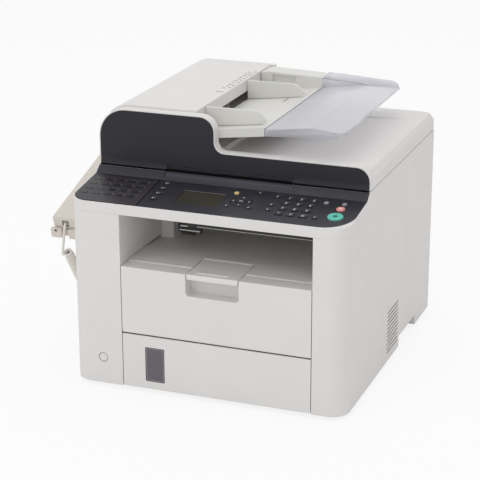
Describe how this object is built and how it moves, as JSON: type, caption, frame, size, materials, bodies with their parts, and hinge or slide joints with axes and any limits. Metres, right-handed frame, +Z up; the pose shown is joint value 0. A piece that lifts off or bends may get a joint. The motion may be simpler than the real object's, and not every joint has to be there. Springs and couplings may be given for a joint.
{
  "type": "fax machine",
  "caption": "Desktop laser fax machine with a document feeder, flatbed scanner, paper cassette and a corded handset on its side",
  "frame": {"origin": "centre of the rectangle round the machine with its handset cradle and hinges, at the underside of the feet", "axes": "+X right, +Y back, +Z up; the operator stands at -Y"},
  "size_m": [0.452, 0.443, 0.369],
  "materials": {
    "body_plastic": "fine grained light grey moulded plastic",
    "black_plastic": "fine grained black moulded plastic",
    "handset_plastic": "smooth warm beige plastic",
    "clear_plastic": "translucent smoke grey",
    "dark_plastic": "dark grey moulded plastic",
    "window_plastic": "smoked window",
    "display": "dark display window",
    "glass": "clear float glass",
    "steel": "zinc plated sheet",
    "rubber": "black rubber",
    "circuit_board": "green solder mask",
    "key_plastic": "grey key caps",
    "start_green": "mint green key",
    "stop_red": "coral key",
    "pad_foam": "white pressure pad",
    "cord_jacket": "soft light grey cord jacket",
    "plug_plastic": "clear plug"
  },
  "bodies": {
    "chassis": {"base_frame": "dark_plastic", "left_cover": "body_plastic", "right_cover": "body_plastic", "rear_panel": "body_plastic", "side_plates": "steel", "output_tray": "dark_plastic", "scanner_housing": "body_plastic", "scanner_glass": "glass", "operation_panel": "black_plastic", "lcd_window": "display", "rubber_feet": "rubber", "handset_cradle": "handset_plastic", "handset_socket": "dark_plastic", "circuit_boards": "circuit_board", "power_supply": "circuit_board", "laser_unit": "dark_plastic", "fuser_frame": "dark_plastic", "toner_cartridge": "dark_plastic", "rear_sockets": "dark_plastic", "fan_frame": "dark_plastic", "drive_motor": "steel", "cover_screws": "steel", "cord_tail": "cord_jacket", "cord_curl": "cord_jacket", "cord_end": "cord_jacket", "socket_plug": "plug_plastic"},
    "cassette": {"cassette_tray": "body_plastic", "cassette_window": "window_plastic"},
    "lift_plate": {"lift_plate": "steel"},
    "guide_left": {"cassette_guide_left": "dark_plastic"},
    "guide_right": {"cassette_guide_right": "dark_plastic"},
    "front_cover": {"front_cover": "body_plastic"},
    "paper_stop": {"paper_stop": "body_plastic"},
    "power_button": {"power_button": "body_plastic"},
    "scanner_lid": {"platen_cover": "body_plastic", "feeder_front": "black_plastic", "platen_pad": "pad_foam", "document_tray": "body_plastic", "tray_extension": "clear_plastic"},
    "feeder_cover": {"feeder_cover": "body_plastic"},
    "document_guide_front": {"document_guide_front": "body_plastic"},
    "document_guide_rear": {"document_guide_rear": "body_plastic"},
    "guide_pinion": {"guide_pinion": "dark_plastic"},
    "rear_cover": {"rear_cover": "body_plastic"},
    "handset": {"handset": "handset_plastic", "handset_plug": "plug_plastic"},
    "hook_switch": {"hook_switch": "dark_plastic"},
    "scan_carriage": {"scan_carriage": "dark_plastic"},
    "fuser_roller": {"fuser_roller": "steel"},
    "pressure_roller": {"pressure_roller": "rubber"},
    "pickup_roller": {"pickup_roller": "rubber"},
    "feed_roller": {"feed_roller": "rubber"},
    "exit_roller": {"exit_roller": "rubber"},
    "fan_rotor": {"fan_rotor": "dark_plastic"},
    "start_key": {"start_key": "start_green"},
    "stop_key": {"stop_key": "stop_red"},
    "number_keys": {"number_keys": "key_plastic"},
    "one_touch_keys": {"one_touch_keys": "key_plastic"},
    "function_keys": {"function_keys": "key_plastic"},
    "menu_keys": {"menu_keys": "key_plastic"}
  },
  "joints": [
    {"name": "cassette_slide", "type": "slide", "parent": "chassis", "child": "cassette", "axis": [0, -1, 0], "range_m": [0, 0.29]},
    {"name": "lift_plate_hinge", "type": "hinge", "parent": "cassette", "child": "lift_plate", "pos_m": [0.04525, -0.0175, 0.0151], "axis": [-1, 0, 0], "range_deg": [0, 12]},
    {"name": "cassette_guide_slide", "type": "slide", "parent": "cassette", "child": "guide_left", "axis": [1, 0, 0], "range_m": [0, 0.03]},
    {"name": "cassette_guide_follow", "type": "slide", "parent": "cassette", "child": "guide_right", "axis": [-1, 0, 0], "range_m": [0, 0.03]},
    {"name": "front_cover_hinge", "type": "hinge", "parent": "chassis", "child": "front_cover", "pos_m": [0.04525, -0.2183, 0.0865], "axis": [1, 0, 0], "range_deg": [0, 90]},
    {"name": "paper_stop_hinge", "type": "hinge", "parent": "chassis", "child": "paper_stop", "pos_m": [0.0417, -0.1575, 0.1771], "axis": [-1, 0, 0], "range_deg": [0, 100]},
    {"name": "power_button_press", "type": "slide", "parent": "chassis", "child": "power_button", "axis": [0, 1, 0], "range_m": [0, 0.0015], "stiffness_N_per_m": 500},
    {"name": "scanner_lid_hinge", "type": "hinge", "parent": "chassis", "child": "scanner_lid", "pos_m": [0.031, 0.2155, 0.2904], "axis": [-1, 0, 0], "range_deg": [0, 70]},
    {"name": "feeder_cover_hinge", "type": "hinge", "parent": "scanner_lid", "child": "feeder_cover", "pos_m": [-0.157, 0.0395, 0.33], "axis": [0, -1, 0], "range_deg": [0, 80]},
    {"name": "document_guide_slide", "type": "slide", "parent": "scanner_lid", "child": "document_guide_front", "axis": [0, 1, 0], "range_m": [0, 0.025]},
    {"name": "document_guide_follow", "type": "slide", "parent": "scanner_lid", "child": "document_guide_rear", "axis": [0, -1, 0], "range_m": [0, 0.025]},
    {"name": "guide_pinion_turn", "type": "hinge", "parent": "scanner_lid", "child": "guide_pinion", "pos_m": [0.031, 0.0064, 0.3417], "axis": [0, 0, -1], "range_deg": [0, 180]},
    {"name": "rear_cover_hinge", "type": "hinge", "parent": "chassis", "child": "rear_cover", "pos_m": [0.031, 0.2077, 0.0736], "axis": [-1, 0, 0], "range_deg": [0, 90]},
    {"name": "handset_lift", "type": "slide", "parent": "chassis", "child": "handset", "axis": [0, -0.2924, 0.9563], "range_m": [0, 0.03]},
    {"name": "hook_switch_press", "type": "slide", "parent": "chassis", "child": "hook_switch", "axis": [0, 0.2924, -0.9563], "range_m": [0, 0.002], "stiffness_N_per_m": 200},
    {"name": "carriage_slide", "type": "slide", "parent": "chassis", "child": "scan_carriage", "axis": [1, 0, 0], "range_m": [0, 0.29]},
    {"name": "fuser_turn", "type": "hinge", "parent": "chassis", "child": "fuser_roller", "pos_m": [0.04525, 0.1425, 0.133], "axis": [1, 0, 0], "continuous": true},
    {"name": "pressure_turn", "type": "hinge", "parent": "chassis", "child": "pressure_roller", "pos_m": [0.04525, 0.1663, 0.133], "axis": [1, 0, 0], "continuous": true},
    {"name": "pickup_turn", "type": "hinge", "parent": "chassis", "child": "pickup_roller", "pos_m": [0.04525, -0.1595, 0.089], "axis": [1, 0, 0], "continuous": true},
    {"name": "feed_turn", "type": "hinge", "parent": "scanner_lid", "child": "feed_roller", "pos_m": [-0.052, 0.0064, 0.346], "axis": [0, 1, 0], "continuous": true},
    {"name": "exit_turn", "type": "hinge", "parent": "chassis", "child": "exit_roller", "pos_m": [0.04525, 0.0685, 0.2244], "axis": [1, 0, 0], "continuous": true},
    {"name": "fan_turn", "type": "hinge", "parent": "chassis", "child": "fan_rotor", "pos_m": [0.1926, 0.0075, 0.047], "axis": [1, 0, 0], "continuous": true},
    {"name": "start_key_press", "type": "slide", "parent": "chassis", "child": "start_key", "axis": [0, 0.1367, -0.9906], "range_m": [0, 0.0008], "stiffness_N_per_m": 400},
    {"name": "stop_key_press", "type": "slide", "parent": "chassis", "child": "stop_key", "axis": [0, 0.1367, -0.9906], "range_m": [0, 0.0008], "stiffness_N_per_m": 400},
    {"name": "number_keys_press", "type": "slide", "parent": "chassis", "child": "number_keys", "axis": [0, 0.1367, -0.9906], "range_m": [0, 0.0008], "stiffness_N_per_m": 400},
    {"name": "one_touch_keys_press", "type": "slide", "parent": "chassis", "child": "one_touch_keys", "axis": [0, 0.1367, -0.9906], "range_m": [0, 0.0008], "stiffness_N_per_m": 400},
    {"name": "function_keys_press", "type": "slide", "parent": "chassis", "child": "function_keys", "axis": [0, 0.1367, -0.9906], "range_m": [0, 0.0008], "stiffness_N_per_m": 400},
    {"name": "menu_keys_press", "type": "slide", "parent": "chassis", "child": "menu_keys", "axis": [0, 0.1367, -0.9906], "range_m": [0, 0.0008], "stiffness_N_per_m": 400}
  ],
  "couplings": [
    {"joint": "cassette_guide_follow", "follows": "cassette_guide_slide", "ratio": 1},
    {"joint": "document_guide_follow", "follows": "document_guide_slide", "ratio": 1},
    {"joint": "guide_pinion_turn", "follows": "document_guide_slide", "rad_per_m": 123.46},
    {"joint": "pressure_turn", "follows": "fuser_turn", "ratio": -1.0256}
  ]
}
